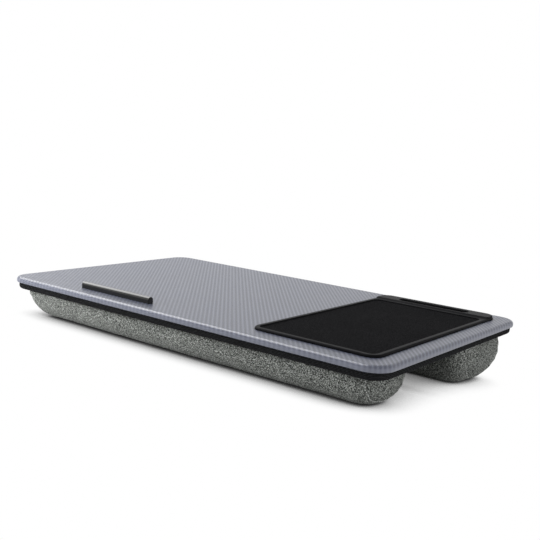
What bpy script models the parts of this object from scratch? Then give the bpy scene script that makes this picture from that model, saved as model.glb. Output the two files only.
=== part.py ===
"""Lap desk: a film-covered board with a moulded mouse and phone tray, on two bolster cushions.

Metres, +Z up. +X runs along the long side, -Y is the side nearest the person, and the
origin is on the ground under the middle of the desk. The rear bolster is the fuller one, so
the deck slopes down towards the person. The board's pieces are modelled in the deck's own
frame, whose top is at zero height, and are stood on the slope by the deck frame empty.
"""

import math

import bmesh
import bpy
from mathutils import Vector

for old in list(bpy.data.objects):
    bpy.data.objects.remove(old, do_unlink=True)

# Whole desk
desk_length = 0.536
desk_depth = 0.305
desk_corner = 0.022
deck_height = 0.0583
deck_slope_degrees = 5.0
fit_gap = 0.0003
cut_overrun = 0.003

# Top board and the carbon-look film drawn over it
board_thickness = 0.0068
board_roll = 0.0038
board_under_roll = 0.0014
film_thickness = 0.0006
film_return = 0.009

# Cloth-covered base pad and the stiff panel let into it
pad_thickness = 0.0078
pad_inset = 0.003
pad_lower_roll = 0.0036
pad_upper_roll = 0.0014
panel_thickness = 0.0035
panel_margin = 0.014
panel_corner = 0.01

# Bolster cushions
bolster_length = 0.509
front_bolster_depth = 0.084
front_bolster_setback = 0.0105
rear_bolster_depth = 0.112
rear_bolster_setback = 0.0045
bolster_corner = 0.014
bolster_sewn_inset = 0.0035
bolster_end_round = 0.026
bolster_side_round = 0.031
bolster_side_bow = 0.0022
bolster_end_bow = 0.003
bolster_seam_dip = 0.0009
ground_flat = 0.0005
bolster_widest_share = 0.72
bolster_nose_share = 0.8

# Moulded tray let into the board
tray_width = 0.146
tray_end_margin = 0.02
tray_front_margin = 0.0228
tray_back_margin = 0.0178
tray_corner = 0.013
tray_lip_height = 0.0025
tray_lip_roll = 0.0018
tray_overhang = 0.0026
tray_frame = 0.006
tray_floor = 0.0018
mat_thickness = 0.0015
mat_step = 0.0014
mat_corner = 0.006
mat_edge_draft = 0.0008

# Raised phone stand across the back of the tray, and the trough cut in its land
trough_width = 0.012
trough_end_margin = 0.029
trough_corner = 0.005
trough_wall = 0.0016
trough_floor = 0.0016
trough_foot_round = 0.0015
trough_edge_round = 0.0007
rear_land_width = 0.0082
front_land_width = 0.0025
stand_slope_run = 0.0068
stand_height = 0.0041
stand_roll = 0.001
stand_inset = 0.0009
stand_front_corner = 0.004

# Device ledge near the front edge
ledge_length = 0.114
ledge_centre_x = -0.098
ledge_setback = 0.0215
ledge_depth = 0.0068
ledge_height = 0.0073
ledge_crest = 0.0031
ledge_end_roll = 0.0004
peg_radius = 0.0022
peg_length = 0.0037
peg_tip = 0.0006
peg_spacing = 0.078

# Facets
corner_facets = 8
roll_facets = 4
crest_facets = 5
peg_facets = 20
bolster_long_facets = 12
bolster_short_facets = 3
bolster_corner_facets = 6
bolster_upper_rings = 3
bolster_lower_rings = 7

# Heights in the deck's frame, down from the deck's top at zero
deck = 0.0
board_bottom = deck - board_thickness
pad_top = board_bottom - fit_gap
pad_bottom = pad_top - pad_thickness
film_inside = film_thickness + fit_gap
core_bottom = board_bottom + film_inside
panel_top = core_bottom - fit_gap
panel_bottom = panel_top - panel_thickness

# Places across the board
half_length = desk_length / 2
half_depth = desk_depth / 2
tray_right = half_length - tray_end_margin
tray_left = tray_right - tray_width
tray_front = -half_depth + tray_front_margin
tray_back = half_depth - tray_back_margin
trough_back = tray_back - rear_land_width
trough_front = trough_back - trough_width
trough_left = tray_left + trough_end_margin
trough_right = tray_right - trough_end_margin
stand_crest = trough_front - front_land_width
stand_foot = stand_crest - stand_slope_run
mat_front = tray_front + tray_frame
mat_left = tray_left + tray_frame
mat_right = tray_right - tray_frame
mat_back = stand_foot - mat_edge_draft

# Heights of the tray and the ledge, which seat on the core
lip_foot = deck - film_thickness
lip_top = deck + tray_lip_height
inside_lip = (lip_foot + lip_top) / 2
mat_top = lip_top - mat_step
mat_bottom = mat_top - mat_thickness
mat_seat = mat_bottom - fit_gap
tub_bottom = mat_seat - tray_floor
trough_seat = core_bottom + trough_floor
stand_top = deck + stand_height
ledge_top = deck + ledge_height
ledge_left = ledge_centre_x - ledge_length / 2
ledge_right = ledge_centre_x + ledge_length / 2
ledge_front = -half_depth + ledge_setback
ledge_back = ledge_front + ledge_depth
peg_end = lip_foot - peg_length
peg_row = (ledge_front + ledge_back) / 2
peg_places = [(ledge_centre_x + side * peg_spacing / 2, peg_row) for side in (-1, 1)]

parts = bpy.data.collections.new("lap_desk")
cutters = bpy.data.collections.new("cutters")
bpy.context.scene.collection.children.link(parts)
bpy.context.scene.collection.children.link(cutters)

# The board's upright side, tilted by the slope, is centred over the origin
deck_slope = math.radians(deck_slope_degrees)
side_height = (board_bottom + board_under_roll - board_roll) / 2
deck_shift = side_height * math.sin(deck_slope)
deck_frame = bpy.data.objects.new("deck_frame", None)
deck_frame.location = (0, deck_shift, deck_height)
deck_frame.rotation_euler.x = deck_slope
parts.objects.link(deck_frame)


def finish(item, colour, roughness):
    """Give an object a Principled material in its own colour."""
    material = bpy.data.materials.new(item.name)
    material.use_nodes = True
    shader = material.node_tree.nodes["Principled BSDF"]
    shader.inputs["Base Color"].default_value = (*colour, 1.0)
    shader.inputs["Roughness"].default_value = roughness
    shader.inputs["Metallic"].default_value = 0.0
    item.data.materials.append(material)


def add_object(name, bm, group, carrier=deck_frame):
    """Turn a bmesh into an object in one of the two collections, carried by the deck frame."""
    bmesh.ops.recalc_face_normals(bm, faces=bm.faces)
    mesh = bpy.data.meshes.new(name)
    bm.to_mesh(mesh)
    bm.free()
    item = bpy.data.objects.new(name, mesh)
    item.parent = carrier
    group.objects.link(item)
    if group is cutters:
        item.hide_render = True
        item.display_type = "WIRE"
    return item


def shape_with(target, bm, name, operation):
    """Cut a shape from an object, or join it on, with the exact solver."""
    tool = add_object(name, bm, cutters, target.parent)
    step = target.modifiers.new(name, "BOOLEAN")
    step.operation = operation
    step.solver = "EXACT"
    step.object = tool


def flat_face(bm, up):
    """The largest face that looks straight up (1) or straight down (-1)."""
    bm.normal_update()
    flat = [f for f in bm.faces if f.normal.z * up > 0.999]
    return max(flat, key=lambda f: f.calc_area())


def roll_rim(bm, up, radius, segments=roll_facets):
    """Round the rim of the upper or the lower face."""
    rim = list(flat_face(bm, up).edges)
    bmesh.ops.bevel(bm, geom=rim, offset=radius, segments=segments, profile=0.5, affect="EDGES")


def rounded_box(low, high, corner, front_corner=None):
    """A box between two opposite corners, its upright edges rounded, the front two apart."""
    bm = bmesh.new()
    bmesh.ops.create_cube(bm, size=1.0)
    size = Vector(high) - Vector(low)
    bmesh.ops.scale(bm, vec=size, verts=bm.verts)
    bmesh.ops.translate(bm, vec=(Vector(high) + Vector(low)) / 2, verts=bm.verts)
    middle = (low[1] + high[1]) / 2
    for side, radius in ((1, corner), (-1, front_corner or corner)):
        upright = [
            e for e in bm.edges
            if abs(e.verts[0].co.z - e.verts[1].co.z) > size.z / 2
            and (e.verts[0].co.y - middle) * side > size.y / 2 - fit_gap
        ]
        bmesh.ops.bevel(
            bm, geom=upright, offset=radius, segments=corner_facets, profile=0.5, affect="EDGES"
        )
    return bm


def widen_top(bm, amount):
    """Draft a rounded box's walls, so that its upper outline stands out by an amount."""
    top = flat_face(bm, 1)
    normals = {}
    for vert in top.verts:
        walls = [f.normal for f in vert.link_faces if abs(f.normal.z) < 0.5]
        normals[vert] = sum(walls, Vector()).normalized()
    for vert, normal in normals.items():
        vert.co += normal * amount


def lean_front(bm, run):
    """Slope a rounded box's front wall, so that its upper edge lies further back by a run."""
    top = flat_face(bm, 1)
    foot = min(vert.co.y for vert in bm.verts)
    for vert in top.verts:
        if vert.co.y < foot + run:
            vert.co.y += run


def upright_peg(place, radius, low, high):
    """A round peg or drill between two heights."""
    bm = bmesh.new()
    bmesh.ops.create_cone(
        bm, cap_ends=True, segments=peg_facets, radius1=radius, radius2=radius, depth=high - low
    )
    bmesh.ops.translate(bm, vec=(*place, (high + low) / 2), verts=bm.verts)
    return bm


def board_form(inset):
    """The board's outer form, drawn in evenly on every side by an inset."""
    bm = rounded_box(
        (-half_length + inset, -half_depth + inset, board_bottom + inset),
        (half_length - inset, half_depth - inset, deck - inset),
        desk_corner - inset,
    )
    roll_rim(bm, 1, board_roll - inset)
    roll_rim(bm, -1, board_under_roll - inset, 2)
    return bm


def tub_form(grow, low, high):
    """The tray's body under its overhanging lip, or the opening that takes it."""
    inset = tray_overhang - grow
    return rounded_box(
        (tray_left + inset, tray_front + inset, low),
        (tray_right - inset, tray_back - inset, high),
        tray_corner - inset,
    )


def well_form(grow, low, high):
    """The trough's deeper body, or the slot that takes it."""
    side = trough_wall + grow
    return rounded_box(
        (trough_left - side, trough_front - side, low),
        (trough_right + side, trough_back + side, high),
        trough_corner + side,
    )


def make_film():
    """Carbon-look film, drawn over the top and the rim and turned in under the board.

    It is trimmed round the tray's lip and the ledge, which both seat on the core.
    """
    bm = board_form(0.0)
    under = flat_face(bm, -1)
    bmesh.ops.inset_individual(bm, faces=[under], thickness=film_return, use_even_offset=True)
    bmesh.ops.delete(bm, geom=[under], context="FACES_ONLY")
    film = add_object("carbon_film", bm, parts)
    skin = film.modifiers.new("thickness", "SOLIDIFY")
    skin.thickness = film_thickness
    skin.offset = -1.0
    skin.use_even_offset = True
    low, high = deck - cut_overrun, deck + cut_overrun
    opening = rounded_box(
        (tray_left - fit_gap, tray_front - fit_gap, low),
        (tray_right + fit_gap, tray_back + fit_gap, high),
        tray_corner + fit_gap,
    )
    shape_with(film, opening, "film_tray_opening", "DIFFERENCE")
    slot = rounded_box(
        (ledge_left - fit_gap, ledge_front - fit_gap, low),
        (ledge_right + fit_gap, ledge_back + fit_gap, high),
        ledge_end_roll,
    )
    shape_with(film, slot, "film_ledge_slot", "DIFFERENCE")
    finish(film, (0.30, 0.31, 0.37), 0.38)


def make_core():
    """Fibreboard core, routed for the tray, slotted for the trough and drilled for the ledge."""
    core = add_object("board_core", board_form(film_inside), parts)
    above = deck + cut_overrun
    seat = tub_form(fit_gap, tub_bottom - fit_gap, above)
    shape_with(core, seat, "core_tray_seat", "DIFFERENCE")
    slot = well_form(fit_gap, board_bottom, above)
    shape_with(core, slot, "core_trough_slot", "DIFFERENCE")
    for index, place in enumerate(peg_places):
        hole = upright_peg(place, peg_radius + fit_gap, peg_end - fit_gap, above)
        shape_with(core, hole, f"core_peg_hole_{index}", "DIFFERENCE")
    finish(core, (0.36, 0.25, 0.15), 0.85)


def make_pad():
    """Charcoal cloth-covered pad, hollowed on top for the stiff panel."""
    bm = rounded_box(
        (-half_length + pad_inset, -half_depth + pad_inset, pad_bottom),
        (half_length - pad_inset, half_depth - pad_inset, pad_top),
        desk_corner - pad_inset,
    )
    roll_rim(bm, 1, pad_upper_roll, 2)
    roll_rim(bm, -1, pad_lower_roll)
    pad = add_object("base_pad", bm, parts)
    inset = pad_inset + panel_margin
    recess = rounded_box(
        (-half_length + inset, -half_depth + inset, panel_bottom - fit_gap),
        (half_length - inset, half_depth - inset, pad_top + cut_overrun),
        panel_corner,
    )
    shape_with(pad, recess, "pad_panel_recess", "DIFFERENCE")
    finish(pad, (0.035, 0.036, 0.038), 0.9)


def make_panel():
    """Stiff panel that backs the pad and lies against the board."""
    inset = pad_inset + panel_margin + fit_gap
    bm = rounded_box(
        (-half_length + inset, -half_depth + inset, panel_bottom),
        (half_length - inset, half_depth - inset, panel_top),
        panel_corner - fit_gap,
    )
    panel = add_object("stiff_panel", bm, parts)
    finish(panel, (0.30, 0.22, 0.14), 0.88)


def make_tray():
    """Moulded tray: a rolled frame round the mat seat, and a railed trough for a phone."""
    bm = rounded_box(
        (tray_left, tray_front, lip_foot), (tray_right, tray_back, lip_top), tray_corner
    )
    roll_rim(bm, 1, tray_lip_roll)
    tray = add_object("mouse_tray", bm, parts)
    shape_with(tray, tub_form(0.0, tub_bottom, inside_lip), "tray_tub", "UNION")
    above = lip_top + cut_overrun
    recess = rounded_box((mat_left, mat_front, mat_seat), (mat_right, mat_back, above), mat_corner)
    widen_top(recess, mat_edge_draft * (above - mat_seat) / (lip_top - mat_seat))
    shape_with(tray, recess, "tray_mat_recess", "DIFFERENCE")
    stand = rounded_box(
        (tray_left + stand_inset, stand_foot, inside_lip),
        (tray_right - stand_inset, tray_back - stand_inset, stand_top),
        tray_corner - stand_inset,
        stand_front_corner,
    )
    lean_front(stand, stand_slope_run)
    roll_rim(stand, 1, stand_roll)
    shape_with(tray, stand, "tray_phone_stand", "UNION")
    shape_with(tray, well_form(0.0, core_bottom, inside_lip), "tray_trough_well", "UNION")
    trough = rounded_box(
        (trough_left, trough_front, trough_seat),
        (trough_right, trough_back, stand_top + cut_overrun),
        trough_corner,
    )
    roll_rim(trough, -1, trough_foot_round, 3)
    shape_with(tray, trough, "tray_trough", "DIFFERENCE")
    mouth = rounded_box(
        (trough_left, trough_front, stand_top - trough_edge_round),
        (trough_right, trough_back, stand_top + trough_edge_round),
        trough_corner,
    )
    widen_top(mouth, 2 * trough_edge_round)
    shape_with(tray, mouth, "tray_trough_mouth", "DIFFERENCE")
    finish(tray, (0.02, 0.02, 0.022), 0.32)


def make_mat():
    """Thin mouse mat laid in the tray's recess."""
    bm = rounded_box(
        (mat_left + fit_gap, mat_front + fit_gap, mat_bottom),
        (mat_right - fit_gap, mat_back - fit_gap, mat_top),
        mat_corner - fit_gap,
    )
    mat = add_object("mouse_mat", bm, parts)
    finish(mat, (0.018, 0.018, 0.019), 0.8)


def make_ledge():
    """Glossy stop bar with an arched crest, held by two pegs in the board."""
    tall = ledge_top - lip_foot
    bm = bmesh.new()
    bmesh.ops.create_cube(bm, size=1.0)
    bmesh.ops.scale(bm, vec=(ledge_length, ledge_depth, tall), verts=bm.verts)
    bmesh.ops.translate(bm, vec=(ledge_centre_x, peg_row, ledge_top - tall / 2), verts=bm.verts)
    crest = [
        edge for edge in flat_face(bm, 1).edges
        if abs(edge.verts[0].co.x - edge.verts[1].co.x) > ledge_length / 2
    ]
    bmesh.ops.bevel(
        bm, geom=crest, offset=ledge_crest, segments=crest_facets, profile=0.5, affect="EDGES"
    )
    bm.normal_update()
    ends = {edge for face in bm.faces if abs(face.normal.x) > 0.999 for edge in face.edges}
    bmesh.ops.bevel(bm, geom=list(ends), offset=ledge_end_roll, segments=2, affect="EDGES")
    ledge = add_object("device_ledge", bm, parts)
    for index, place in enumerate(peg_places):
        peg = upright_peg(place, peg_radius, peg_end, ledge_top - tall / 2)
        bmesh.ops.bevel(
            peg, geom=list(flat_face(peg, -1).edges), offset=peg_tip, segments=1, affect="EDGES"
        )
        shape_with(ledge, peg, f"ledge_peg_{index}", "UNION")
    finish(ledge, (0.008, 0.008, 0.009), 0.12)


def bolster_sections():
    """Height share, drawn-in length and depth, and fullness of each ring, from the top down."""
    sections = []
    for step in range(bolster_upper_rings):
        rise = 1 - step / bolster_upper_rings
        drawn = bolster_sewn_inset * rise ** 2
        height = bolster_widest_share + (1 - bolster_widest_share) * rise
        sections.append((height, drawn, drawn, 1 - rise ** 2))
    for step in range(bolster_lower_rings + 1):
        turn = math.pi / 2 * step / bolster_lower_rings
        fall = 1 - math.cos(turn)
        height = bolster_widest_share * (1 - math.sin(turn))
        sections.append((height, bolster_end_round * fall, bolster_side_round * fall, 1 - fall))
    return sections


def side_points(start, end, outward, bow, facets):
    """Points between two corners of a ring, bowed outward between them."""
    points = []
    for step in range(1, facets):
        share = step / facets
        swell = bow * (1 - (2 * share - 1) ** 2)
        points.append(start.lerp(end, share) + outward * swell)
    return points


def bolster_ring(half_x, half_y, full):
    """One closed outline with a dip where each upright corner seam runs."""
    corner = min(bolster_corner, half_y * bolster_nose_share)
    arcs = []
    for quarter, (sx, sy) in enumerate(((1, 1), (-1, 1), (-1, -1), (1, -1))):
        centre = Vector((sx * (half_x - corner), sy * (half_y - corner)))
        arc = []
        for step in range(bolster_corner_facets + 1):
            turn = math.pi / 2 * (quarter + step / bolster_corner_facets)
            seam = bolster_seam_dip * full if 2 * step == bolster_corner_facets else 0
            reach = corner - seam
            arc.append(centre + Vector((math.cos(turn), math.sin(turn))) * reach)
        arcs.append(arc)
    sides = (
        (Vector((0, 1)), bolster_side_bow, bolster_long_facets),
        (Vector((-1, 0)), bolster_end_bow, bolster_short_facets),
        (Vector((0, -1)), bolster_side_bow, bolster_long_facets),
        (Vector((1, 0)), bolster_end_bow, bolster_short_facets),
    )
    ring = []
    for index, (outward, bow, facets) in enumerate(sides):
        ring += arcs[index]
        following = arcs[(index + 1) % len(arcs)]
        ring += side_points(arcs[index][-1], following[0], outward, bow * full, facets)
    return ring


def pad_height(y):
    """Height of the sloping pad's underside above the ground, less the fitting gap."""
    drop = (fit_gap - pad_bottom) / math.cos(deck_slope)
    return deck_height + (y - deck_shift) * math.tan(deck_slope) - drop


def make_bolster(name, front, depth):
    """A bead-filled bolster: one cloth cover with upright corner seams, flat where it rests."""
    middle = front + depth / 2
    bm = bmesh.new()
    rings = []
    for share, end_in, side_in, full in bolster_sections():
        half_x = bolster_length / 2 - bolster_end_bow - end_in
        half_y = depth / 2 - bolster_side_bow - side_in
        ring = []
        for point in bolster_ring(half_x, half_y, full):
            y = middle + point.y
            height = share * (pad_height(y) + ground_flat) - ground_flat
            ring.append(bm.verts.new((point.x, y, height)))
        rings.append(ring)
    for upper, lower in zip(rings, rings[1:]):
        for index in range(len(upper)):
            after = (index + 1) % len(upper)
            bm.faces.new((upper[index], lower[index], lower[after], upper[after]))
    bm.faces.new(rings[0])
    bm.faces.new(reversed(rings[-1]))
    bolster = add_object(name, bm, parts, None)
    ground = rounded_box(
        (-half_length, front - bolster_corner, -bolster_corner),
        (half_length, front + depth + bolster_corner, 0),
        bolster_corner,
    )
    shape_with(bolster, ground, f"{name}_ground", "DIFFERENCE")
    finish(bolster, (0.17, 0.18, 0.17), 0.95)


make_film()
make_core()
make_pad()
make_panel()
make_tray()
make_mat()
make_ledge()
make_bolster("front_bolster", -half_depth + front_bolster_setback, front_bolster_depth)
make_bolster(
    "rear_bolster", half_depth - rear_bolster_setback - rear_bolster_depth, rear_bolster_depth
)

for item in parts.objects:
    if item.type == "MESH":
        item.data.shade_smooth()
        item.data.set_sharp_from_angle(angle=math.radians(40))
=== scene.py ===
import math

import bpy
import numpy as np
from mathutils import Matrix, Vector, noise
from mathutils.bvhtree import BVHTree
from mathutils.kdtree import KDTree


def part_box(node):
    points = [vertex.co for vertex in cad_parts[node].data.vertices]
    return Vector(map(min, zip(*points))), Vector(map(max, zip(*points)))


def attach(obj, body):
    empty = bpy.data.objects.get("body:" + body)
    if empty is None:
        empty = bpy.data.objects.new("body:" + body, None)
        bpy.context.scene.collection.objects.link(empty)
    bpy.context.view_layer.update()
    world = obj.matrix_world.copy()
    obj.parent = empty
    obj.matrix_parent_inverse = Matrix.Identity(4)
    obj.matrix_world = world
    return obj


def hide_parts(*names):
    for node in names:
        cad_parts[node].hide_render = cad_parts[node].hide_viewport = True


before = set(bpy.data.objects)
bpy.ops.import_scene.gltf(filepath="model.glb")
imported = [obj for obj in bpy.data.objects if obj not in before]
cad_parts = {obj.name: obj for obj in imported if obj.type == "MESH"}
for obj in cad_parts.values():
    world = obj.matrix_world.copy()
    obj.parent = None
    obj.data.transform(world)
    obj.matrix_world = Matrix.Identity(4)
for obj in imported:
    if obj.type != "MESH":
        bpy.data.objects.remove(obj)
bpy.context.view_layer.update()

# ---- The board's film ----
# A printed film with a carbon-twill look, heat-formed over the top board and rolled
# round its edge. It is a satin silver grey, and the twill's ribs stand up a little.


class Thread:
    """A value on its way through a finish. Sums written on it add their Math nodes."""

    def __init__(self, finish, socket):
        self.finish, self.socket = finish, socket

    def maths(self, operation, *values):
        return self.finish.node("ShaderNodeMath", {"operation": operation}, dict(enumerate(values)))

    def __add__(self, other):
        return self.maths("ADD", self, other)

    def __sub__(self, other):
        return self.maths("SUBTRACT", self, other)

    def __rsub__(self, other):
        return self.maths("SUBTRACT", other, self)

    def __mul__(self, other):
        return self.maths("MULTIPLY", self, other)

    def __truediv__(self, other):
        return self.maths("DIVIDE", self, other)

    def __mod__(self, other):
        return self.maths("FLOORED_MODULO", self, other)

    def __lt__(self, other):
        return self.maths("LESS_THAN", self, other)

    def floor(self):
        return self.maths("FLOOR", self)

    def wave(self):
        return self.maths("SINE", self)

    def back_and_forth(self, half):
        return self.maths("PINGPONG", self, half)

    def at_most(self, limit):
        return self.maths("MINIMUM", self, limit)

    def at_least(self, limit):
        return self.maths("MAXIMUM", self, limit)

    __radd__, __rmul__ = __add__, __mul__


class Finish:
    """One material, mixed from nodes that end in its shader."""

    def __init__(self, name, **sockets):
        self.material = bpy.data.materials.new(name)
        self.material.use_nodes = True
        self.tree = self.material.node_tree
        self.shader = self.tree.nodes["Principled BSDF"]
        self.place = self.node("ShaderNodeTexCoord", output="Object")
        for words, value in sockets.items():
            self.feed(self.shader.inputs[words.replace("_", " ").title().replace("Ior", "IOR")], value)

    def feed(self, socket, value):
        if isinstance(value, Thread):
            self.tree.links.new(value.socket, socket)
        else:
            socket.default_value = value

    def node(self, kind, settings=None, sockets=None, output=0):
        made = self.tree.nodes.new(kind)
        for name, value in (settings or {}).items():
            if name == "stops":
                ramp = made.color_ramp
                ramp.elements[0].position, ramp.elements[1].position = value[0][0], value[-1][0]
                for place, colour in value[1:-1]:
                    ramp.elements.new(place)
                for stop, (place, colour) in zip(ramp.elements, value):
                    stop.color = (*colour, 1)
            else:
                setattr(made, name, value)
        for key, value in (sockets or {}).items():
            self.feed(made.inputs[key], value)
        return Thread(self, made.outputs[output])

    def turned(self, tilt=0.0, stretch=(1, 1, 1)):
        return self.node("ShaderNodeMapping", None,
                         {"Vector": self.place, "Rotation": (tilt, 0, 0), "Scale": stretch})

    def split(self, vector):
        apart = self.node("ShaderNodeSeparateXYZ", None, {0: vector})
        return [Thread(self, apart.socket.node.outputs[n]) for n in range(3)]

    def cloud(self, scale, detail=2.0, stretch=(1, 1, 1)):
        return self.node("ShaderNodeTexNoise", None,
                         {"Vector": self.turned(stretch=stretch), "Scale": scale, "Detail": detail})

    def colours(self, factor, *stops):
        return self.node("ShaderNodeValToRGB", {"stops": stops}, {0: factor})

    def colour_from(self, factor, *stops):
        self.feed(self.shader.inputs["Base Color"], self.colours(factor, *stops))

    def feel(self, height, depth, strength=1.0):
        bump = self.node("ShaderNodeBump", None,
                         {"Strength": strength, "Distance": depth, "Height": height})
        self.feed(self.shader.inputs["Normal"], bump)

    def give(self, piece):
        piece.data.materials.clear()
        piece.data.materials.append(self.material)


def pick_up(piece):
    bpy.ops.object.select_all(action="DESELECT")
    piece.select_set(True)
    bpy.context.view_layer.objects.active = piece


def joined_copy(node, name):
    """A CAD node's shape as a mesh of its own, with its loose faces joined."""
    piece = bpy.data.objects.new(name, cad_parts[node].data.copy())
    bpy.context.scene.collection.objects.link(piece)
    pick_up(piece)
    bpy.ops.mesh.customdata_custom_splitnormals_clear()
    bpy.ops.object.mode_set(mode="EDIT")
    bpy.ops.mesh.select_all(action="SELECT")
    bpy.ops.mesh.remove_doubles(threshold=1e-6)
    bpy.ops.object.mode_set(mode="OBJECT")
    return piece


def apply(piece, kind, **settings):
    """Adds a modifier, sets it and finishes it."""
    pick_up(piece)
    made = piece.modifiers.new(kind.lower(), kind)
    for name, value in settings.items():
        setattr(made, name, value)
    bpy.ops.object.modifier_apply(modifier=made.name)


def rounded(piece, crease=35):
    """Shades the rolled edges round and the flats flat."""
    pick_up(piece)
    bpy.ops.object.shade_smooth_by_angle(angle=math.radians(crease))
    apply(piece, "WEIGHTED_NORMAL", keep_sharp=True, weight=100)


def stands_for(piece, node):
    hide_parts(node)
    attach(piece, "root")


deck_tilt = math.radians(5)
tow_across, tow_along, tows_a_repeat = 0.001457, 0.001677, 4
rib_relief, roll_reach = 0.00018, 0.003
film = joined_copy("carbon_film", "carbon_film_roll")
rounded(film)
stands_for(film, "carbon_film")
twill = Finish("silver twill film", specular_ior_level=0.9)
across, along, up = twill.split(twill.turned(-deck_tilt))
column, row = across / tow_across, along / tow_along
warp_over = ((column.floor() + row.floor()) % tows_a_repeat) < 1.5
tow_height = warp_over * (column % 1).back_and_forth(0.5) * 2 + \
    (1 - warp_over) * (row % 1).back_and_forth(0.5) * 2
fibres = twill.cloud(5200, 1.0, stretch=(1, 0.12, 0.12))
rib = ((column + row) % tows_a_repeat).back_and_forth(tows_a_repeat / 2) / (tows_a_repeat / 2)
handled = twill.cloud(26, 3.0)
film_top = max(math.cos(deck_tilt) * v.co.z - math.sin(deck_tilt) * v.co.y
               for v in film.data.vertices)
# Painted light: the rolled edge, down to roll_reach below the deck's top, is coloured lighter and its
# twill fainter, standing in for the light the roll catches.
roll_band_painted_light = ((film_top - up) / roll_reach).at_most(1.0)
weave = rib * 0.45 + tow_height * 0.1 + fibres * 0.08 + handled * 0.12
twill.colour_from(weave * (1 - roll_band_painted_light * 0.8) + roll_band_painted_light * 0.58,
                  (0.1, (0.016, 0.019, 0.034)), (0.3, (0.044, 0.051, 0.082)),
                  (0.5, (0.07, 0.079, 0.122)), (0.75, (0.19, 0.203, 0.258)))
twill.feed(twill.shader.inputs["Roughness"], 0.27 + handled * 0.05 + (1 - rib) * 0.08)
twill.feel(rib * 0.6 + tow_height * 0.4, rib_relief, 0.8)
twill.give(film)

# ---- The board ----
# Pressed wood fibre, machined round its edge, with a seat routed for the mouse tray
# and holes drilled for the stop bar's pegs. The film hides all but its underside.

board = joined_copy("board_core", "pressed_board")
rounded(board)
stands_for(board, "board_core")
pressed = Finish("raw fibreboard", roughness=0.9)
pressed.colour_from(pressed.cloud(700, 6.0), (0.3, (0.22, 0.14, 0.08)),
                    (0.5, (0.36, 0.25, 0.15)), (0.72, (0.5, 0.37, 0.24)))
pressed.feel(pressed.cloud(1600, 3.0), 0.0002, 0.5)
pressed.give(board)

# ---- The cloth-covered base ----
# A thin foam pad in charcoal mesh cloth, glued under the board, and the stiff
# fibreboard sheet inside it that carries the bolsters.

base = joined_copy("base_pad", "charcoal_base")
foam_edge, cloth_crease, mesh_pitch = 0.0014, 50, 0.0027
apply(base, "BEVEL", limit_method="ANGLE", angle_limit=math.radians(cloth_crease),
      width=foam_edge, segments=3)
rounded(base, cloth_crease)
stands_for(base, "base_pad")
charcoal = Finish("charcoal mesh cloth", roughness=0.95, specular_ior_level=0.04)
side, back, height = charcoal.split(charcoal.turned(-deck_tilt))
run, turn = side + back, 2 * math.pi / mesh_pitch
holes = ((run + height) * turn).wave() * ((run - height) * turn).wave()
fuzz = charcoal.cloud(2400, 3.0)
charcoal.colour_from(holes * 0.45 + 0.2 + fuzz * 0.5, (0.3, (0.0015, 0.0015, 0.0015)),
                     (0.55, (0.006, 0.0062, 0.0066)), (0.85, (0.08, 0.082, 0.086)))
charcoal.feel(holes * 0.5 + fuzz * 0.3, 0.0003, 0.8)
charcoal.give(base)

panel = joined_copy("stiff_panel", "backing_sheet")
rounded(panel)
stands_for(panel, "stiff_panel")
pressed.give(panel)

# ---- The moulded tray ----
# One injection moulding in black plastic, let into the board: a raised frame round the
# mouse mat, and a sloped stand with a trough behind it. Its face is finely grained.

tray = joined_copy("mouse_tray", "moulded_tray")
rounded(tray)
stands_for(tray, "mouse_tray")
moulded = Finish("grained black plastic", specular_ior_level=0.015)
grain, rubbed = moulded.cloud(3200, 2.0), moulded.cloud(38, 4.0)
moulded.colour_from(rubbed, (0.3, (0.008, 0.008, 0.009)), (0.75, (0.013, 0.013, 0.014)))
moulded.feed(moulded.shader.inputs["Roughness"], 0.3 + rubbed * 0.08 + grain * 0.05)
moulded.feel(grain, 0.00003, 0.4)
moulded.give(tray)

# ---- The mouse mat ----
# A die-cut sheet of fine black cloth on rubber, glued down inside the frame.

mat = joined_copy("mouse_mat", "mouse_mat_sheet")
rounded(mat)
stands_for(mat, "mouse_mat")
mat_cloth = Finish("fine mat cloth", roughness=0.95, specular_ior_level=0.02)
nap, wear = mat_cloth.cloud(1100, 2.0), mat_cloth.cloud(22, 3.0)
mat_cloth.colour_from(nap * 0.94 + wear * 0.06, (0.36, (0.0015, 0.0015, 0.0018)),
                      (0.5, (0.006, 0.006, 0.0066)), (0.64, (0.02, 0.02, 0.0215)))
mat_cloth.feel(nap, 0.0001, 0.6)
mat_cloth.give(mat)

# ---- The stop bar ----
# A glossy black extrusion with an arched top, pegged to the board near the front edge,
# so that nothing slides off the sloping deck.

bar = joined_copy("device_ledge", "stop_bar")
rounded(bar)
stands_for(bar, "device_ledge")
polished = Finish("polished black plastic", base_color=(0.004, 0.004, 0.0045, 1),
                  specular_ior_level=0.6)
polished.feed(polished.shader.inputs["Roughness"], 0.03 + polished.cloud(120, 4.0, (0.3, 1, 1)) * 0.05)
polished.give(bar)

# ---- The bolster cushions ----
# Two bags of heathered grey cloth filled with light beads and sewn up under the base.
# Each end is a panel of its own, so a stitched seam runs down one corner and up the other.

heather = Finish("heathered bolster cloth", roughness=0.96, specular_ior_level=0.1,
                 sheen_weight=0.1, sheen_roughness=0.5)
slub = heather.cloud(850, 2.0)
fleck = heather.cloud(1250, 1.0, stretch=(0.6, 0.6, 1.5))
strand = heather.cloud(1250, 1.0, stretch=(1.5, 0.7, 0.6))
patch = heather.cloud(24, 3.0)
mottle = slub * 0.4 + fleck * 0.3 + strand * 0.3
heather.colour_from((mottle - 0.5) * 4.3 + 0.44 + patch * 0.08,
                    (0.05, (0.012, 0.013, 0.012)), (0.38, (0.095, 0.101, 0.094)),
                    (0.6, (0.235, 0.248, 0.232)), (0.95, (0.62, 0.645, 0.61)))
heather.feel(mottle, 0.0006, 0.7)

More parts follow.
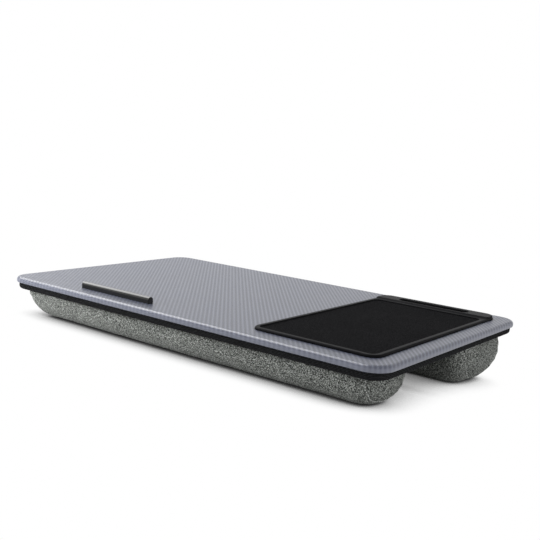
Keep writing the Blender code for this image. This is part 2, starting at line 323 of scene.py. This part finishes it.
sewing = Finish("pale sewing thread", base_color=(0.62, 0.64, 0.62, 1), roughness=0.8)
sewing.feel(sewing.cloud(4000, 2.0), 0.0001, 0.5)

cloth_grid, cushion_shrink, swell_limit = 0.004, 0.0012, 0.0045
filling_pressure, cloth_stiffness, filling_frames = 4, 0.3, 20
sewn_depth, top_fullness, top_reach = 0.0015, 0.0018, 0.009
evening_passes, end_reach, end_falloff = 7, 0.075, 1.6
levels_up = (0.0, 0.15, 0.3, 0.5, 0.7, 0.85, 1.0)
front_left = (-0.011, -0.014, -0.014, -0.01, -0.0045, 0.002, 0.006)
front_right = (0.005, 0.0025, -0.0005, -0.003, -0.004, -0.004, -0.004)
rear_ends = (0.008, 0.0055, 0.0045, 0.004, 0.0038, 0.0035, 0.0025)


def surface_of(bag):
    """The bag's skin as it is now, for finding the nearest cloth."""
    return BVHTree.FromPolygons([v.co.copy() for v in bag.data.vertices],
                                [tuple(p.vertices) for p in bag.data.polygons])


def sewn_under(bag, top, left, right):
    """Blows the bag up as cloth, sewn down along its top, then brings it back to its CAD
    form's size, fuller along the seam at the top, and leans its ends."""
    form = surface_of(bag)
    apply(bag, "DISPLACE", mid_level=0, strength=-cushion_shrink)
    apply(bag, "REMESH", mode="VOXEL", voxel_size=cloth_grid)
    apply(bag, "SMOOTH", iterations=2)
    points = bag.data.vertices
    start = [v.co.copy() for v in points]
    sewn = bag.vertex_groups.new(name="sewn")
    sewn.add([v.index for v in points if v.co.z > top(v.co.y) - sewn_depth], 1, "REPLACE")
    cloth = bag.modifiers.new("filling", "CLOTH")
    cloth.settings.quality = 6
    cloth.settings.use_pressure = True
    cloth.settings.uniform_pressure_force = filling_pressure
    cloth.settings.vertex_group_mass = "sewn"
    cloth.settings.bending_stiffness = cloth_stiffness
    cloth.settings.effector_weights.gravity = 0
    for moment in range(1, filling_frames + 1):
        bpy.context.scene.frame_set(moment)
    pick_up(bag)
    bpy.ops.object.modifier_apply(modifier="filling")
    bpy.context.scene.frame_set(1)
    for v, was in zip(points, start):
        moved = v.co - was
        if moved.length > swell_limit:
            v.co = was + moved * (swell_limit / moved.length)
    bag.vertex_groups.clear()
    edges = np.array([e.vertices for e in bag.data.edges])
    ways = [v.normal.copy() for v in points]
    off = np.empty(len(points))
    for v, way in zip(points, ways):
        off[v.index] = (v.co - form.find_nearest(v.co)[0]).dot(way)
    neighbours = np.bincount(edges.ravel(), minlength=len(points))
    for again in range(evening_passes):
        spread = np.bincount(edges[:, 0], off[edges[:, 1]], len(points)) + \
            np.bincount(edges[:, 1], off[edges[:, 0]], len(points))
        off = (off + spread / neighbours) / 2
    for v, way in zip(points, ways):
        near_top = min(1.0, max(0.0, 1 - (top(v.co.y) - v.co.z) / top_reach))
        v.co -= way * (off[v.index] - top_fullness * near_top)
        half = bag.dimensions.x / 2
        near_end = max(0.0, 1 - (half - abs(v.co.x)) / end_reach) ** end_falloff
        settled = np.interp(v.co.z / top(v.co.y), levels_up, right if v.co.x > 0 else left)
        v.co.x += settled * near_end * math.copysign(1, v.co.x)
    apply(bag, "SUBSURF", levels=1, render_levels=1)


seam_samples, seam_softening, reach_past_end, far_corner_rise = 120, 8, 0.4, 1.15
front_corner = ((0.009, 0.0295), (0.0074, 0.0269), (0.0071, 0.0227), (0.009, 0.0172),
                (0.0135, 0.0118), (0.0231, 0.0058), (0.042, 0.004))
rear_corner = ((0.0105, 0.043), (0.0112, 0.0379), (0.0131, 0.0304), (0.0192, 0.022),
               (0.032, 0.0121), (0.047, 0.0053), (0.056, 0.0045))


def seam_line(bag, end, corner, face, depth):
    """The end panel's seam: down one corner, under the end and up the other."""
    skin = surface_of(bag)
    path = list(corner) + [(depth - back, height * far_corner_rise)
                           for back, height in corner[-2::-1]]
    backs, heights = zip(*path)
    corners, steps = range(len(path)), np.linspace(0, len(path) - 1, seam_samples)
    points = []
    for back, height in zip(np.interp(steps, corners, backs), np.interp(steps, corners, heights)):
        outside = Vector((reach_past_end * end, face + back, height))
        near = skin.ray_cast(outside, Vector((-end, 0, 0)))[0]
        if near:
            points.append(near)
    for again in range(seam_softening):
        points = [points[0]] + [(a + b * 2 + c) / 4 for a, b, c in
                                zip(points, points[1:], points[2:])] + [points[-1]]
    return points


seam_depth, seam_half_width = 0.0019, 0.0018
pucker_depth, pucker_pitch, pucker_reach = 0.0004, 0.0095, 0.006
broad_sag, fine_sag = (30, 0.0007), (85, 0.00025)
ground_roll, top_roll = 0.006, 0.005


def sew(bag, lines, top):
    """Draws the cloth in along its seams, puckers it beside them and lets it sag a little between."""
    tree = KDTree(sum(len(line) for line in lines))
    runs = []
    for line in lines:
        travelled = 0.0
        for n, point in enumerate(line):
            travelled += (point - line[n - 1]).length if n else 0
            tree.insert(point, len(runs))
            runs.append(travelled)
    tree.balance()
    points = bag.data.vertices
    ways = [v.normal.copy() for v in points]
    for v, way in zip(points, ways):
        index, away = tree.find(v.co)[1:]
        free = min(1.0, max(0.0, v.co.z / ground_roll)) * \
            min(1.0, max(0.0, (top(v.co.y) - v.co.z) / top_roll))
        groove = seam_depth * math.exp(-(away / seam_half_width) ** 2)
        pucker = pucker_depth * math.exp(-(away / pucker_reach) ** 2) * \
            math.sin(runs[index] * 2 * math.pi / pucker_pitch)
        sag = sum(noise.noise(v.co * waves) * depth for waves, depth in (broad_sag, fine_sag))
        v.co -= way * (groove + pucker + sag) * free
        v.co.z = min(max(v.co.z, 0.0), top(v.co.y))


stitch_pitch, stitch_length, stitch_thickness, stitch_offset = 0.0029, 0.0018, 0.0013, 0.0002
stitch_stands_out, lowest_stitch = 0.3, 0.003


def stitching(bag, lines, end_ways, name):
    """Pale stitches beside the seams, one copied along each line."""
    skin = surface_of(bag)
    bpy.ops.object.select_all(action="DESELECT")
    bpy.ops.mesh.primitive_uv_sphere_add(segments=8, ring_count=5, radius=0.5)
    first = bpy.context.object
    first.data.transform(Matrix.Diagonal((stitch_length, stitch_thickness, stitch_thickness, 1)))
    copies = []
    for line, end in zip(lines, end_ways):
        left = 0.0
        for a, b in zip(line, line[1:]):
            span = (b - a).length
            while left < span:
                at = a.lerp(b, left / span) - Vector((end * stitch_offset, 0, 0))
                near, way = skin.find_nearest(at)[:2]
                left += stitch_pitch
                if near.z < lowest_stitch:
                    continue
                run = (b - a).normalized()
                over = way.cross(run).normalized()
                turn = Matrix((run, over, run.cross(over))).transposed().to_4x4()
                made = bpy.data.objects.new(name, first.data.copy())
                bpy.context.scene.collection.objects.link(made)
                raised = near + way * stitch_thickness * stitch_stands_out
                made.data.transform(Matrix.Translation(raised) @ turn)
                copies.append(made)
            left -= span
    bpy.data.objects.remove(first)
    pick_up(copies[0])
    for made in copies:
        made.select_set(True)
    bpy.ops.object.join()
    bpy.ops.object.shade_smooth()
    copies[0].name = name
    return copies[0]


for node, name, fullness, left, right, corner in (
        ("front_bolster", "front_cushion", 0.6, front_left, front_right, front_corner),
        ("rear_bolster", "rear_cushion", 0.75, rear_ends, rear_ends, rear_corner)):
    low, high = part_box(node)
    top = lambda y, back=high.y, peak=high.z: peak + (y - back) * math.tan(deck_tilt)
    bag = joined_copy(node, name)
    sewn_under(bag, top, left, right)
    seams = [seam_line(bag, end, corner, low.y, high.y - low.y) for end in (-1, 1)]
    sew(bag, seams, top)
    pick_up(bag)
    bpy.ops.object.shade_smooth()
    heather.give(bag)
    stands_for(bag, node)
    stitches = stitching(bag, seams, (-1, 1), name + "_stitching")
    sewing.give(stitches)
    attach(stitches, "root")

# ---- The studio ----
# A white sweep in a soft white room. A broad softbox on the left draws the thin bright lines
# along the rolled edges, a low lamp lights the front bolster and a weak one fills the right end.

floor_width, paper_white, shade_reach, room_light = 40, 0.86, 0.07, 0.22
bpy.ops.object.select_all(action="DESELECT")
bpy.ops.mesh.primitive_plane_add(size=floor_width, location=(0, 0, 0))
floor = bpy.context.object
floor.name = "floor"
sweep = Finish("white sweep")
rays = [sweep.node("ShaderNodeLightPath", output="Is " + kind + " Ray")
        for kind in ("Camera", "Glossy", "Transmission")]
seen = rays[0].at_least(rays[1].at_least(rays[2]))
matt = sweep.node("ShaderNodeBsdfDiffuse", None, {"Color": (paper_white, paper_white, paper_white, 1)})
# As seen, the floor glows: an emission, white, with a painted contact shadow that darkens it where
# ambient occlusion finds the object near, so no lamp shadow shows on it.
contact = sweep.node("ShaderNodeAmbientOcclusion", {"samples": 16}, {"Distance": shade_reach}, "AO")
greys = ((0.04, 0.004), (0.15, 0.1), (0.28, 0.42), (0.42, 0.78), (0.6, 1))
painted_contact_shadow = sweep.colours(contact, *((place, (grey, grey, grey)) for place, grey in greys))
white = sweep.node("ShaderNodeEmission", None, {"Color": painted_contact_shadow})
paper = sweep.node("ShaderNodeMixShader", None, {0: seen, 1: matt, 2: white})
sweep.feed(sweep.tree.nodes["Material Output"].inputs["Surface"], paper)
sweep.give(floor)

world = bpy.data.worlds.new("soft white room")
world.use_nodes = True
bpy.context.scene.world = world
room = world.node_tree
ray = room.nodes.new("ShaderNodeLightPath")
shown = ray.outputs["Is Camera Ray"]
for kind in ("Is Glossy Ray", "Is Transmission Ray"):
    either = room.nodes.new("ShaderNodeMath")
    either.operation = "MAXIMUM"
    room.links.new(shown, either.inputs[0])
    room.links.new(ray.outputs[kind], either.inputs[1])
    shown = either.outputs[0]
strength = room.nodes.new("ShaderNodeMath")
strength.operation = "MULTIPLY_ADD"
strength.inputs[1].default_value = 1 - room_light
strength.inputs[2].default_value = room_light
room.links.new(shown, strength.inputs[0])
room.links.new(strength.outputs[0], room.nodes["Background"].inputs["Strength"])
room.nodes["Background"].inputs["Color"].default_value = (1, 1, 1, 1)

lit_spot = Vector((0, 0, 0.04))
for name, place, sizes, power, mirrored in (
        ("left softbox", (-1.0, -0.15, 1.2), (1.5, 1.3), 27, True),
        ("low left lamp", (-0.7, -0.53, 0.16), (0.5, 0.25), 5, False),
        ("right fill lamp", (1.1, -0.05, 0.3), (0.5, 0.4), 2.4, False)):
    lamp = bpy.data.lights.new(name, "AREA")
    lamp.shape, lamp.size, lamp.size_y, lamp.energy = "RECTANGLE", *sizes, power
    lit = bpy.data.objects.new(name, lamp)
    bpy.context.scene.collection.objects.link(lit)
    lit.location = place
    lit.visible_glossy = mirrored
    lit.rotation_euler = (lit_spot - lit.location).to_track_quat("-Z", "Y").to_euler()

camera = bpy.data.objects.new("photo view", bpy.data.cameras.new("photo view"))
bpy.context.scene.collection.objects.link(camera)
camera.data.lens, camera.data.sensor_width = 54.106, 36
camera.data.clip_start = 0.01
camera.matrix_world = Matrix((
    (0.78248, -0.14531, 0.60548, 0.59703), (0.61257, 0.00518, -0.7904, -0.75287),
    (0.11172, 0.98937, 0.09306, 0.18155), (0, 0, 0, 1)))
bpy.context.scene.camera = camera
bpy.context.scene.view_settings.view_transform = "Standard"

bpy.context.view_layer.update()
